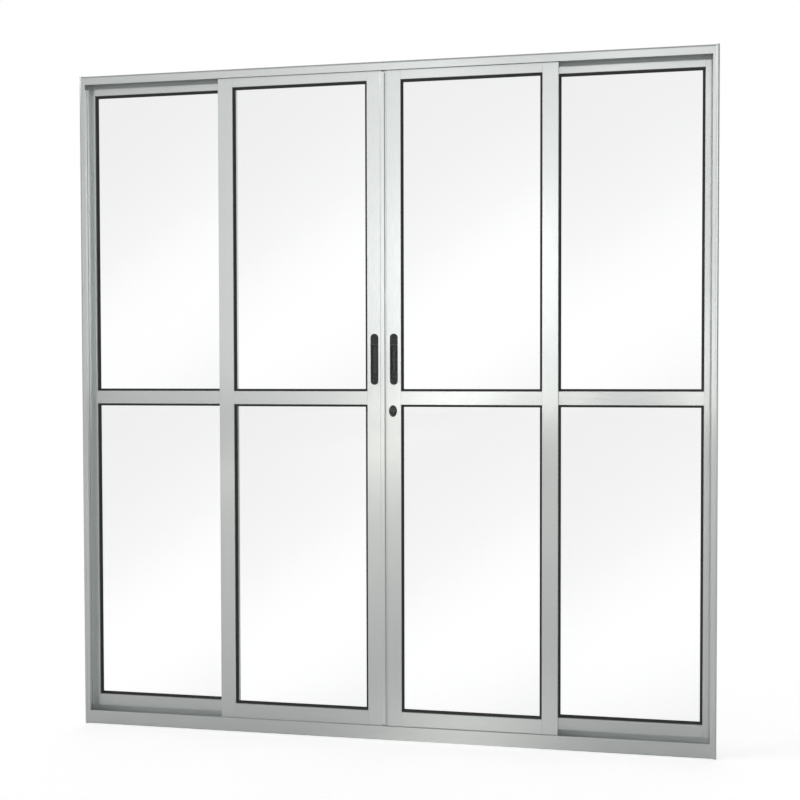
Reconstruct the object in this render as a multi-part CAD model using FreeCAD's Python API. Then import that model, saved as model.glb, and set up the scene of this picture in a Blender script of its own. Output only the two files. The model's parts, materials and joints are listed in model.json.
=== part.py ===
import FreeCAD
import Part

import math
import os

# Sliding glass patio door in anodised aluminium: two fixed outer leaves and two sliding centre leaves.
# Millimetres. X runs along the opening, Y from the front face to the back, Z up from the sill's underside.

# Outer frame
FRAME_WIDTH = 2000.0
FRAME_HEIGHT = 2100.0
FRAME_DEPTH = 68.0
FRAME_WALL = 1.6
FRAME_ROUND = 7.0
FRAME_EDGE_RADIUS = 2.4
JAMB_BOX = 10.0
JAMB_BOX_PROUD = 1.4
JAMB_BOX_RADIUS = 1.0
JAMB_LIP = 9.5
HEAD_FACE = 27.5
SILL_FACE = 44.0
SILL_FLOOR = 12.0
RIB_THICKNESS = 3.0
RAIL_TOP_RADIUS = 1.3
SILL_RAIL_HEIGHT = 16.0
HEAD_GUIDE_HEIGHT = 22.0

# Leaves
LEAF_DEPTH = 23.0
LEAF_WALL = 1.5
LEAF_EDGE = 0.6
LEAF_SETBACK = 8.0
LEAF_GAP = 5.5
LEAF_LAP_UNDER_HEAD = 13.5
LEAF_LAP_UNDER_SILL = 20.0
MEETING_STILE = 45.0
LAP_STILE = 48.0
JAMB_STILE = 28.0
JAMB_SEAT = 0.3
MEETING_EDGE = 8.0
LAP_SHIFT = 2.5
RAIL_BOX = 24.0
TOP_RAIL = 42.5
MID_RAIL = 41.5
MID_RAIL_CENTRE = 1066.25
BOTTOM_RAIL = 65.5
RUNNING_CLEARANCE = 5.0

# Glazing
GROOVE_WIDTH = 10.0
GROOVE_DEPTH = 8.0
GASKET_SHOW = 7.0
GLASS_THICKNESS = 4.0
GLASS_BITE = 10.5

# Rollers of the sliding leaves and setting blocks of the fixed leaves
ROLLER_SETBACK = 88.0
WHEEL_RADIUS = 12.0
WHEEL_WIDTH = 8.0
WHEEL_GROOVE_DEPTH = 3.5
WHEEL_PLAY = 0.6
WHEEL_SEAT = 0.3
AXLE_RADIUS = 2.5
AXLE_PLAY = 0.1
HOUSING_LENGTH = 44.0
HOUSING_WALL = 2.0
HOUSING_PLAY = 1.0
HOUSING_SKIRT = 6.0
BLOCK_LENGTH = 60.0
BLOCK_PLAY = 0.5

# Flush pulls
PULL_LENGTH = 158.0
PULL_WIDTH = 24.5
PULL_CENTRE_HEIGHT = 1186.0
PULL_PROUD = 1.6
PULL_EDGE = 0.8
CUP_WIDTH = 17.0
CUP_TOP_MARGIN = 35.0
CUP_BOTTOM_MARGIN = 19.0
CUP_DEPTH = 13.0
CUP_WALL = 1.5
CUP_FLOOR_RADIUS = 6.0
CUP_SLOPE = 16.0
CUP_EDGE = 1.2
PULL_SCREW_MARGIN = 9.5
PULL_SCREW_RADIUS = 2.2
RIDGE_WIDTH = 9.0
RIDGE_HEIGHT = 6.0
RIDGE_RADIUS = 2.0
RIDGE_TOP_MARGIN = 49.5
RIDGE_GAP = 15.0
UPPER_RIDGE_LENGTH = 22.0
LOWER_RIDGE_LENGTH = 27.0
CUTOUT_PLAY = 0.3

# Lock on the right meeting stile
LOCK_WIDTH = 25.0
LOCK_LENGTH = 36.0
LOCK_PROUD = 4.0
LOCK_END_RADIUS = 10.0
LOCK_EDGE = 2.6
LOCK_DROP = 63.0
LOCK_SIDE_SHIFT = -2.9
BARREL_RADIUS = 6.0
BARREL_PLAY = 0.2
BARREL_LENGTH = 17.0
BARREL_PROUD = 0.8
KEYWAY_WIDTH = 1.8
KEYWAY_LENGTH = 7.5
KEYWAY_DEPTH = 5.0

# Astragal strip on the left meeting stile, and the rebate strip behind it on the right one
ASTRAGAL_GAP = 5.0
ASTRAGAL_PROUD = 5.0
ASTRAGAL_OVERLAP = 3.0
ASTRAGAL_WALL = 2.5
ASTRAGAL_LEG = 14.0
ASTRAGAL_EDGE_RADIUS = 1.6
REBATE_THICKNESS = 3.0
REBATE_EDGE_RADIUS = 0.6

# Wall fixings through the jambs
FIXING_RADIUS = 3.0
FIXING_SETBACK = 12.0
FIXING_HEIGHTS = (300.0, 1800.0)

TOLERANCE = 1e-6

# Places worked out from the sizes above
FRONT = -FRAME_DEPTH / 2
BACK = FRAME_DEPTH / 2
FACE = FRONT + JAMB_BOX_PROUD
INNER_ROUND = FRAME_ROUND - FRAME_WALL
WEB = FRAME_WIDTH / 2 - JAMB_BOX
HEAD_LIP = FRAME_HEIGHT - HEAD_FACE
SLIDING_FACE = FRONT + LEAF_SETBACK
FIXED_FACE = SLIDING_FACE + LEAF_DEPTH + LEAF_GAP
LEAF_BOTTOM = SILL_FACE - LEAF_LAP_UNDER_SILL
LEAF_TOP = HEAD_LIP + LEAF_LAP_UNDER_HEAD
RAIL_TOP = SILL_FLOOR + SILL_RAIL_HEIGHT
GUIDE_TIP = FRAME_HEIGHT - FRAME_WALL - HEAD_GUIDE_HEIGHT
FIXED_OUTER = WEB - JAMB_SEAT
STILES = MEETING_STILE + LAP_STILE + JAMB_STILE
DAYLIGHT = (FIXED_OUTER - MEETING_EDGE - STILES) / 2
LAP_INNER = MEETING_EDGE + MEETING_STILE + DAYLIGHT + LAP_SHIFT
LAP_OUTER = LAP_INNER + LAP_STILE
ROLLER_SEAT = LEAF_BOTTOM + BOTTOM_RAIL - RAIL_BOX
ASTRAGAL_FRONT = SLIDING_FACE - ASTRAGAL_PROUD
ASTRAGAL_BACK = ASTRAGAL_FRONT + ASTRAGAL_WALL
ASTRAGAL_SIDE = ASTRAGAL_WALL - MEETING_EDGE
EDGE_FOOT = RAIL_TOP + RUNNING_CLEARANCE
EDGE_TOP = GUIDE_TIP - RUNNING_CLEARANCE
PULL_BOTTOM = PULL_CENTRE_HEIGHT - PULL_LENGTH / 2
PULL_TOP = PULL_CENTRE_HEIGHT + PULL_LENGTH / 2
LOCK_CENTRE_HEIGHT = PULL_BOTTOM - LOCK_DROP - LOCK_LENGTH / 2


def plan(across, depth):
    """Point of a section that is drawn from above."""
    return FreeCAD.Vector(across, depth, 0)


def front_view(across, height):
    """Point of an outline that is drawn from the front."""
    return FreeCAD.Vector(across, 0, height)


def profile(height, depth):
    """Point of a section that is drawn from the side."""
    return FreeCAD.Vector(0, depth, height)


def box(x0, x1, y0, y1, z0, z1):
    """Block between two corners."""
    return Part.makeBox(x1 - x0, y1 - y0, z1 - z0, FreeCAD.Vector(x0, y0, z0))


def line_edges(start, end):
    """Straight edge between two points, or none where they meet."""
    return [Part.makeLine(start, end)] if start.distanceToPoint(end) > TOLERANCE else []


def section(corners, point):
    """Flat face through (first, second, radius) corners, each rounded by its own radius."""
    spots = [point(first, second) for first, second, radius in corners]
    arcs = []
    for index, (first, second, radius) in enumerate(corners):
        corner = spots[index]
        back = (spots[index - 1] - corner).normalize()
        ahead = (spots[(index + 1) % len(spots)] - corner).normalize()
        half = back.getAngle(ahead) / 2
        reach = radius / math.tan(half)
        crown = (back + ahead).normalize() * (radius / math.sin(half) - radius)
        arcs.append((corner + back * reach, corner + crown, corner + ahead * reach))
    edges = []
    for index, (start, crown, end) in enumerate(arcs):
        if corners[index][2] > 0:
            edges.append(Part.Arc(start, crown, end).toShape())
        edges += line_edges(end, arcs[(index + 1) % len(arcs)][0])
    return Part.Face(Part.Wire(edges))


def rectangle(first0, first1, second0, second1, point):
    """Flat rectangular face."""
    corners = [(first0, second0, 0), (first1, second0, 0), (first1, second1, 0), (first0, second1, 0)]
    return section(corners, point)


def extrude_z(face, z0, z1):
    """Upright extrusion of a plan section."""
    return face.translated(FreeCAD.Vector(0, 0, z0)).extrude(FreeCAD.Vector(0, 0, z1 - z0))


def extrude_x(face, x0, x1):
    """Lengthwise extrusion of a side section."""
    return face.translated(FreeCAD.Vector(x0, 0, 0)).extrude(FreeCAD.Vector(x1 - x0, 0, 0))


def union(shapes):
    """One solid from shapes that touch."""
    return shapes[0].multiFuse(shapes[1:]).removeSplitter()


def mirrored(shape):
    """The same shape on the other side of the door's centre line."""
    return shape.mirror(FreeCAD.Vector(0, 0, 0), FreeCAD.Vector(1, 0, 0))


def track_centre(face):
    """Depth of the track under a leaf whose front face is given."""
    return face + LEAF_DEPTH / 2


def head():
    """Head extrusion: front and back walls under a top plate, with a guide rib over each track."""
    wall = FRAME_WALL
    top = FRAME_HEIGHT - wall
    outer = section([
        (HEAD_LIP, FACE, 0), (FRAME_HEIGHT, FACE, FRAME_ROUND),
        (FRAME_HEIGHT, BACK, FRAME_EDGE_RADIUS), (HEAD_LIP, BACK, 0),
    ], profile)
    hollow = section([
        (HEAD_LIP, FACE + wall, 0), (top, FACE + wall, INNER_ROUND),
        (top, BACK - wall, 0), (HEAD_LIP, BACK - wall, 0),
    ], profile)
    shapes = [extrude_x(outer.cut(hollow), -WEB, WEB)]
    for face in (SLIDING_FACE, FIXED_FACE):
        middle = track_centre(face)
        half = RIB_THICKNESS / 2
        shapes.append(box(-WEB, WEB, middle - half, middle + half, GUIDE_TIP, top))
    return union(shapes)


def sill():
    """Sill extrusion: closed base chambers, front and back walls and a round-topped rail in each track."""
    wall = FRAME_WALL
    outer = section([
        (0, FACE, FRAME_ROUND), (0, BACK, 0), (SILL_FACE, BACK, 0), (SILL_FACE, FACE, 0),
    ], profile)
    trough = rectangle(SILL_FLOOR, SILL_FACE, FACE + wall, BACK - wall, profile)
    rims = [FACE + wall / 2, track_centre(SLIDING_FACE), track_centre(FIXED_FACE), BACK - wall / 2]
    shape = outer.cut(trough)
    rounds = [INNER_ROUND, 0, 0]
    ceiling = SILL_FLOOR - wall
    for near, far, radius in zip(rims, rims[1:], rounds):
        y0 = near + wall / 2
        y1 = far - wall / 2
        corners = [(wall, y0, radius), (wall, y1, 0), (ceiling, y1, 0), (ceiling, y0, 0)]
        shape = shape.cut(section(corners, profile))
    shapes = [extrude_x(shape, -WEB, WEB)]
    half = RIB_THICKNESS / 2
    for face in (SLIDING_FACE, FIXED_FACE):
        middle = track_centre(face)
        rail = section([
            (SILL_FLOOR, middle - half, 0), (RAIL_TOP, middle - half, RAIL_TOP_RADIUS),
            (RAIL_TOP, middle + half, RAIL_TOP_RADIUS), (SILL_FLOOR, middle + half, 0),
        ], profile)
        shapes.append(extrude_x(rail, -WEB, WEB))
    return union(shapes)


def right_jamb():
    """Jamb extrusion: full-height hollow box with two lips that stop at the sill and the head."""
    outside = FRAME_WIDTH / 2
    wall = FRAME_WALL
    nose = section([
        (WEB, FRONT, JAMB_BOX_RADIUS), (outside, FRONT, FRAME_ROUND),
        (outside, BACK, FRAME_EDGE_RADIUS), (WEB, BACK, 0),
    ], plan)
    x0 = WEB + wall
    x1 = outside - wall
    y0 = FACE + wall
    y1 = BACK - wall
    chamber = section([(x0, y0, 0), (x1, y0, INNER_ROUND), (x1, y1, 0), (x0, y1, 0)], plan)
    shapes = [extrude_z(nose.cut(chamber), 0, FRAME_HEIGHT)]
    for y0 in (FACE, BACK - wall):
        shapes.append(box(WEB - JAMB_LIP, WEB, y0, y0 + wall, SILL_FACE, HEAD_LIP))
    ends = section([
        (0, FRONT, FRAME_EDGE_RADIUS), (FRAME_HEIGHT, FRONT, FRAME_EDGE_RADIUS),
        (FRAME_HEIGHT, BACK, 0), (0, BACK, 0),
    ], profile)
    jamb = union(shapes).common(extrude_x(ends, WEB - JAMB_LIP, outside))
    reach = JAMB_BOX + 2 * wall
    for height in FIXING_HEIGHTS:
        start = FreeCAD.Vector(WEB - wall, FRONT + FIXING_SETBACK, height)
        jamb = jamb.cut(Part.makeCylinder(FIXING_RADIUS, reach, start, FreeCAD.Vector(1, 0, 0)))
    return jamb


def grooved(width, low, high, inset):
    """Corners of a leaf tube with a glazing groove on its low side, its high side or both."""
    near = inset
    far = width - inset
    front = inset
    back = LEAF_DEPTH - inset
    bevel = LEAF_EDGE
    groove0 = (LEAF_DEPTH - GROOVE_WIDTH) / 2 - inset
    groove1 = (LEAF_DEPTH + GROOVE_WIDTH) / 2 + inset
    corners = [(near, front + bevel), (near + bevel, front), (far - bevel, front), (far, front + bevel)]
    if high:
        floor = far - GROOVE_DEPTH
        corners += [(far, groove0), (floor, groove0), (floor, groove1), (far, groove1)]
    corners += [(far, back - bevel), (far - bevel, back), (near + bevel, back), (near, back - bevel)]
    if low:
        floor = near + GROOVE_DEPTH
        corners += [(near, groove1), (floor, groove1), (floor, groove0), (near, groove0)]
    return [(first, second, 0) for first, second in corners]


def leaf_tube(width, low, high, point):
    """Hollow section of a stile or a rail, starting at zero in both directions."""
    outer = section(grooved(width, low, high, 0), point)
    return outer.cut(section(grooved(width, low, high, LEAF_WALL), point))


def stile(x0, width, face, groove_high):
    """Full-height stile, notched at both ends to straddle the sill's rail and the head's guide."""
    tube = leaf_tube(width, not groove_high, groove_high, plan).translated(FreeCAD.Vector(x0, face, 0))
    shape = extrude_z(tube, LEAF_BOTTOM, LEAF_TOP)
    half = RIB_THICKNESS / 2 + RUNNING_CLEARANCE
    middle = track_centre(face)
    for z0, z1 in ((LEAF_BOTTOM, EDGE_FOOT), (EDGE_TOP, LEAF_TOP)):
        shape = shape.cut(box(x0, x0 + width, middle - half, middle + half, z0, z1))
    return shape


def rail(x0, x1, face, z0, height, low, high):
    """Horizontal tube between two stiles, grooved below, above or both."""
    tube = leaf_tube(height, low, high, profile).translated(FreeCAD.Vector(0, face, z0))
    return extrude_x(tube, x0, x1)


def rail_legs(x0, x1, face, z0, z1):
    """Two walls that carry a rail's faces on past its tube, either side of the track."""
    back = face + LEAF_DEPTH
    return [box(x0, x1, face, face + LEAF_WALL, z0, z1), box(x0, x1, back - LEAF_WALL, back, z0, z1)]


def top_rail(x0, x1, face):
    """Top rail: grooved tube with legs that stand up into the head."""
    z0 = LEAF_TOP - TOP_RAIL
    tube = rail(x0, x1, face, z0, RAIL_BOX, True, False)
    return union([tube] + rail_legs(x0, x1, face, z0 + RAIL_BOX - LEAF_WALL, LEAF_TOP))


def mid_rail(x0, x1, face):
    """Middle rail with a groove above and below."""
    return rail(x0, x1, face, MID_RAIL_CENTRE - MID_RAIL / 2, MID_RAIL, True, True)


def bottom_rail(x0, x1, face):
    """Bottom rail: grooved tube with legs that hang down round the sill's rail."""
    tube = rail(x0, x1, face, ROLLER_SEAT, RAIL_BOX, False, True)
    return union([tube] + rail_legs(x0, x1, face, LEAF_BOTTOM, ROLLER_SEAT + LEAF_WALL))


def lights():
    """Bottom and top of the lower and the upper glazed opening."""
    half = MID_RAIL / 2
    return (
        (LEAF_BOTTOM + BOTTOM_RAIL, MID_RAIL_CENTRE - half),
        (MID_RAIL_CENTRE + half, LEAF_TOP - TOP_RAIL),
    )


def panel(x0, x1, z0, z1, grow, middle, thickness):
    """Upright sheet over an opening, larger than it by a margin all round."""
    y0 = middle - thickness / 2
    return box(x0 - grow, x1 + grow, y0, y0 + thickness, z0 - grow, z1 + grow)


def pane(x0, x1, z0, z1, middle):
    """Sheet of glass held all round in its gasket."""
    return panel(x0, x1, z0, z1, GLASS_BITE - GASKET_SHOW, middle, GLASS_THICKNESS)


def gasket(x0, x1, z0, z1, middle):
    """Rubber channel round the edge of one pane, seated in the grooves of the leaf."""
    ring = panel(x0, x1, z0, z1, GROOVE_DEPTH, middle, GROOVE_WIDTH)
    ring = ring.cut(panel(x0, x1, z0, z1, -GASKET_SHOW, middle, GROOVE_WIDTH))
    return ring.cut(pane(x0, x1, z0, z1, middle))


def leaf(inner, inner_stile, outer, outer_stile, face):
    """Pieces of one leaf on the right-hand side, between its inner and its outer edge."""
    x0 = inner + inner_stile
    x1 = outer - outer_stile
    middle = track_centre(face)
    return {
        "inner_stile": stile(inner, inner_stile, face, True),
        "outer_stile": stile(x1, outer_stile, face, False),
        "top_rail": top_rail(x0, x1, face),
        "mid_rail": mid_rail(x0, x1, face),
        "bottom_rail": bottom_rail(x0, x1, face),
        "panes": Part.Compound([pane(x0, x1, z0, z1, middle) for z0, z1 in lights()]),
        "gaskets": Part.Compound([gasket(x0, x1, z0, z1, middle) for z0, z1 in lights()]),
    }


def carrier_places(x0, x1):
    """Two places along a bottom rail where it is carried."""
    return (x0 + ROLLER_SETBACK, x1 - ROLLER_SETBACK)


def wheel_height():
    """Height of a roller's axle, with its groove just above the rail."""
    return RAIL_TOP + WHEEL_SEAT + WHEEL_RADIUS - WHEEL_GROOVE_DEPTH


def roller_wheel(x, middle):
    """Flanged roller with a groove that straddles the sill's rail."""
    half = WHEEL_WIDTH / 2
    rim = RIB_THICKNESS / 2 + WHEEL_PLAY
    tread = WHEEL_RADIUS - WHEEL_GROOVE_DEPTH
    bore = AXLE_RADIUS + AXLE_PLAY
    outline = section([
        (bore, -half, 0), (WHEEL_RADIUS, -half, 0), (WHEEL_RADIUS, -rim, 0), (tread, -rim, 0),
        (tread, rim, 0), (WHEEL_RADIUS, rim, 0), (WHEEL_RADIUS, half, 0), (bore, half, 0),
    ], profile)
    wheel = outline.revolve(FreeCAD.Vector(0, 0, 0), FreeCAD.Vector(0, 1, 0), 360)
    return wheel.translated(FreeCAD.Vector(x, middle, wheel_height()))


def roller_housing(x, middle):
    """Fork that holds a roller's axle under the bottom rail."""
    half = LEAF_DEPTH / 2 - LEAF_WALL - HOUSING_PLAY
    length = HOUSING_LENGTH / 2
    foot = wheel_height() - HOUSING_SKIRT
    fork = box(x - length, x + length, middle - half, middle + half, foot, ROLLER_SEAT)
    slot = half - HOUSING_WALL
    roof = ROLLER_SEAT - HOUSING_WALL
    fork = fork.cut(box(x - length, x + length, middle - slot, middle + slot, foot, roof))
    start = FreeCAD.Vector(x, middle - half, wheel_height())
    axle = Part.makeCylinder(AXLE_RADIUS, 2 * half, start, FreeCAD.Vector(0, 1, 0))
    return union([fork, axle])


def setting_block(x, middle):
    """Block under a fixed leaf, standing astride the sill's rail."""
    half = LEAF_DEPTH / 2 - LEAF_WALL - BLOCK_PLAY
    length = BLOCK_LENGTH / 2
    block = box(x - length, x + length, middle - half, middle + half, SILL_FLOOR, ROLLER_SEAT)
    slot = RIB_THICKNESS / 2 + BLOCK_PLAY
    return block.cut(box(x - length, x + length, middle - slot, middle + slot, SILL_FLOOR, RAIL_TOP))


def edges_at(shape, depth):
    """Edges of a shape that lie wholly at one depth."""
    return [edge for edge in shape.Edges
            if all(abs(vertex.Y - depth) < TOLERANCE for vertex in edge.Vertexes)]


def pull_plate():
    """Round-ended plate of a pull, with a bevelled front edge."""
    half = PULL_WIDTH / 2
    front = SLIDING_FACE - PULL_PROUD
    outline = section([
        (-half, PULL_BOTTOM, half), (half, PULL_BOTTOM, half),
        (half, PULL_TOP, half), (-half, PULL_TOP, half),
    ], front_view)
    plate = outline.translated(FreeCAD.Vector(0, front, 0)).extrude(FreeCAD.Vector(0, PULL_PROUD, 0))
    return plate.makeChamfer(PULL_EDGE, edges_at(plate, front))


def pull_cup(grow):
    """Finger trough of a pull, grown by a margin: round floor, square top, sloping bottom."""
    mouth = SLIDING_FACE - PULL_PROUD
    floor = SLIDING_FACE + CUP_DEPTH + grow
    half = CUP_WIDTH / 2 + grow
    radius = CUP_FLOOR_RADIUS + grow
    z0 = PULL_BOTTOM + CUP_BOTTOM_MARGIN - grow
    z1 = PULL_TOP - CUP_TOP_MARGIN + grow
    across = [(-half, mouth, 0), (half, mouth, 0), (half, floor, radius), (-half, floor, radius)]
    edge = CUP_EDGE
    along = [
        (z0, mouth, 0), (z1 + edge, mouth, 0), (z1, mouth + edge, 0),
        (z1, floor, 0), (z0 + CUP_SLOPE, floor, 0),
    ]
    trough = extrude_z(section(across, plan), z0, z1 + edge)
    return trough.common(extrude_x(section(along, profile), -half, half))


def flush_pull(x):
    """Flush pull: round-ended plate on the stile's face with a finger trough sunk through it."""
    front = SLIDING_FACE - PULL_PROUD
    shape = union([pull_plate(), pull_cup(CUP_WALL)]).cut(pull_cup(0))
    for height in (PULL_BOTTOM + PULL_SCREW_MARGIN, PULL_TOP - PULL_SCREW_MARGIN):
        start = FreeCAD.Vector(0, front, height)
        shape = shape.cut(Part.makeCylinder(PULL_SCREW_RADIUS, PULL_PROUD, start, FreeCAD.Vector(0, 1, 0)))
    return shape.translated(FreeCAD.Vector(x, 0, 0))


def thumb_ridges(x):
    """Two raised ridges on the floor of a pull's trough, one over the other."""
    half = RIDGE_WIDTH / 2
    floor = SLIDING_FACE + CUP_DEPTH
    front = floor - RIDGE_HEIGHT
    across = section([
        (x - half, floor, 0), (x - half, front, RIDGE_RADIUS),
        (x + half, front, RIDGE_RADIUS), (x + half, floor, 0),
    ], plan)
    ridges = []
    top = PULL_TOP - RIDGE_TOP_MARGIN
    for length in (UPPER_RIDGE_LENGTH, LOWER_RIDGE_LENGTH):
        ridges.append(extrude_z(across, top - length, top))
        top -= length + RIDGE_GAP
    return ridges


def pull_cutout(x):
    """Opening in a stile's front wall that a pull's trough passes through."""
    half = CUP_WIDTH / 2 + CUP_WALL + CUTOUT_PLAY
    grow = CUP_WALL + CUTOUT_PLAY
    z0 = PULL_BOTTOM + CUP_BOTTOM_MARGIN - grow
    z1 = PULL_TOP - CUP_TOP_MARGIN + grow
    return box(x - half, x + half, SLIDING_FACE, SLIDING_FACE + LEAF_WALL, z0, z1)


def lock_place():
    """Centre of the lock on the face of the right meeting stile."""
    across = MEETING_EDGE + MEETING_STILE / 2 + LOCK_SIDE_SHIFT
    return FreeCAD.Vector(across, SLIDING_FACE, LOCK_CENTRE_HEIGHT)


def oval_face(width, length, end_radius):
    """Upright oval of four arcs: two ends of a given radius and two flatter sides that run into them."""
    rise = length / 2 - end_radius
    half = width / 2
    side_radius = (rise ** 2 + half ** 2 - end_radius ** 2) / (2 * (half - end_radius))
    shift = side_radius - half
    slope = side_radius / (side_radius - end_radius)
    touch_x = slope * shift - shift
    touch_z = slope * rise
    corners = [front_view(touch_x * a, touch_z * b) for a, b in ((1, -1), (1, 1), (-1, 1), (-1, -1))]
    tips = [front_view(half * a, length / 2 * b) for a, b in ((1, 0), (0, 1), (-1, 0), (0, -1))]
    edges = [Part.Arc(corners[i], tips[i], corners[(i + 1) % 4]).toShape() for i in range(4)]
    return Part.Face(Part.Wire(edges))


def lock_rose():
    """Oval lock cover that stands out from the stile with a bevelled edge and a hole for the barrel."""
    inward = FreeCAD.Vector(0, LOCK_PROUD, 0)
    cover = oval_face(LOCK_WIDTH, LOCK_LENGTH, LOCK_END_RADIUS).translated(inward * -1).extrude(inward)
    cover = cover.makeChamfer(LOCK_EDGE, edges_at(cover, -LOCK_PROUD))
    hole = Part.makeCylinder(BARREL_RADIUS + BARREL_PLAY, LOCK_PROUD, inward * -1, FreeCAD.Vector(0, 1, 0))
    return cover.cut(hole).translated(lock_place())


def lock_barrel():
    """Round lock barrel with a keyway, running back into the stile."""
    front = FreeCAD.Vector(0, -LOCK_PROUD - BARREL_PROUD, 0)
    barrel = Part.makeCylinder(BARREL_RADIUS, BARREL_LENGTH, front, FreeCAD.Vector(0, 1, 0))
    half = KEYWAY_WIDTH / 2
    long = KEYWAY_LENGTH / 2
    barrel = barrel.cut(box(-half, half, front.y, front.y + KEYWAY_DEPTH, -long, long))
    return barrel.translated(lock_place())


def lock_cutout():
    """Hole in the stile's front wall behind the lock."""
    hole = Part.makeCylinder(BARREL_RADIUS + BARREL_PLAY, LEAF_WALL, FreeCAD.Vector(0, 0, 0),
                             FreeCAD.Vector(0, 1, 0))
    return hole.translated(lock_place())


def astragal():
    """Angle strip on the left leaf's closing edge; its plate stops short of the frame and its leg runs on."""
    edge = -MEETING_EDGE
    cover = MEETING_EDGE - ASTRAGAL_GAP
    heel = edge - ASTRAGAL_OVERLAP
    toe = SLIDING_FACE + ASTRAGAL_LEG
    radius = ASTRAGAL_EDGE_RADIUS
    outline = section([
        (heel, ASTRAGAL_FRONT, radius), (cover, ASTRAGAL_FRONT, radius),
        (cover, ASTRAGAL_BACK, 0), (ASTRAGAL_SIDE, ASTRAGAL_BACK, 0), (ASTRAGAL_SIDE, toe, 0),
        (edge, toe, 0), (edge, SLIDING_FACE, 0), (heel, SLIDING_FACE, 0),
    ], plan)
    strip = extrude_z(outline, SILL_FACE + RUNNING_CLEARANCE, HEAD_LIP - RUNNING_CLEARANCE)
    leg = extrude_z(rectangle(edge, ASTRAGAL_SIDE, SLIDING_FACE, toe, plan), EDGE_FOOT, EDGE_TOP)
    return union([strip, leg])


def rebate():
    """Strip on the right leaf's closing edge that stands behind the astragal and closes the gap."""
    tip = ASTRAGAL_SIDE + RUNNING_CLEARANCE
    front = ASTRAGAL_BACK + RUNNING_CLEARANCE
    back = front + REBATE_THICKNESS
    radius = REBATE_EDGE_RADIUS
    outline = section([
        (tip, front, radius), (MEETING_EDGE, front, 0), (MEETING_EDGE, back, 0), (tip, back, radius),
    ], plan)
    return extrude_z(outline, EDGE_FOOT, EDGE_TOP)


def carriers(make, inner, outer, face):
    """A pair of like pieces that carry one leaf's bottom rail."""
    middle = track_centre(face)
    return Part.Compound([make(x, middle) for x in carrier_places(inner, outer)])


def build():
    """All pieces by name."""
    pieces = {"head": head(), "sill": sill()}
    pull_place = MEETING_EDGE + MEETING_STILE / 2
    sliding = leaf(MEETING_EDGE, MEETING_STILE, LAP_OUTER, LAP_STILE, SLIDING_FACE)
    sliding["inner_stile"] = sliding["inner_stile"].cut(pull_cutout(pull_place))
    rail_start = MEETING_EDGE + MEETING_STILE
    sliding["roller_housings"] = carriers(roller_housing, rail_start, LAP_INNER, SLIDING_FACE)
    sliding["roller_wheels"] = carriers(roller_wheel, rail_start, LAP_INNER, SLIDING_FACE)
    fixed = leaf(LAP_INNER, LAP_STILE, FIXED_OUTER, JAMB_STILE, FIXED_FACE)
    fixed["setting_blocks"] = carriers(setting_block, LAP_OUTER, FIXED_OUTER - JAMB_STILE, FIXED_FACE)
    names = {
        "sliding": {"inner_stile": "meeting_stile", "outer_stile": "lap_stile"},
        "fixed": {"inner_stile": "lap_stile", "outer_stile": "jamb_stile"},
    }
    for side, turn in (("right", lambda shape: shape), ("left", mirrored)):
        pieces[side + "_jamb"] = turn(right_jamb())
        for kind, group in (("fixed", fixed), ("sliding", sliding)):
            for piece, shape in group.items():
                pieces["_".join((side, kind, names[kind].get(piece, piece)))] = turn(shape)
        pieces[side + "_pull"] = turn(flush_pull(pull_place))
    stile_name = "right_sliding_meeting_stile"
    pieces[stile_name] = pieces[stile_name].cut(lock_cutout())
    pieces["right_pull"] = union([pieces["right_pull"]] + thumb_ridges(pull_place))
    pieces["lock_rose"] = lock_rose()
    pieces["lock_barrel"] = lock_barrel()
    pieces["astragal"] = astragal()
    pieces["rebate"] = rebate()
    return pieces


os.makedirs("parts", exist_ok=True)
for name, shape in sorted(build().items()):
    shape.exportStep("parts/" + name + ".step")
    print(name, len(shape.Solids), "solids", round(shape.Volume), "mm3", shape.isValid())
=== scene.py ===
# %% [markdown]
# # A sliding glass patio door
#
# The door has four leaves of natural anodised aluminium in a two-track frame. The outer leaves are fixed in the
# back track and the two centre leaves slide apart in the front track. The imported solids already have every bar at
# its true size, so this lesson dresses them: it gives the bars their finish, and makes glass, rubber, screws and
# lock as new pieces where a plain solid would look poor up close.

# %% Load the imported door
import json
import math

import bmesh
import bpy
from mathutils import Matrix, Vector

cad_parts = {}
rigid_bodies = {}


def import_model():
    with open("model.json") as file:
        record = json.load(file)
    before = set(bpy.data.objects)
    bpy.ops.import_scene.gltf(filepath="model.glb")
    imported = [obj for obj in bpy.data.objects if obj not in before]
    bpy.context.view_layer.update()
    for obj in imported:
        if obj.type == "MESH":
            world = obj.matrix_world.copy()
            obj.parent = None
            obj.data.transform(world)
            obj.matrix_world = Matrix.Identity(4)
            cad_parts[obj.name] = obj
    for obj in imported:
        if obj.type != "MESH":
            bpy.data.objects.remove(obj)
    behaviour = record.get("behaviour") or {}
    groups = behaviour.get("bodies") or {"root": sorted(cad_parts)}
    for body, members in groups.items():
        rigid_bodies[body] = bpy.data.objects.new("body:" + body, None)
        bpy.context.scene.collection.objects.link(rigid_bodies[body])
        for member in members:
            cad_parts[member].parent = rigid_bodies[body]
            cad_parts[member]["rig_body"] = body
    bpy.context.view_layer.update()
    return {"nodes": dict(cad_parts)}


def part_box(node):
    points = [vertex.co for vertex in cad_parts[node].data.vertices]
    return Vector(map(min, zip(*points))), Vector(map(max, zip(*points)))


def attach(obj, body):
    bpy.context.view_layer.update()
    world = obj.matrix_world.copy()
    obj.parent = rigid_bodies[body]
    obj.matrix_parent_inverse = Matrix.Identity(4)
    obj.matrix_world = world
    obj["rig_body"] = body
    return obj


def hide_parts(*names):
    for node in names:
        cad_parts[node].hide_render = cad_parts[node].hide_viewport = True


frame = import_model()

MM = 0.001
nodes = frame["nodes"]

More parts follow.
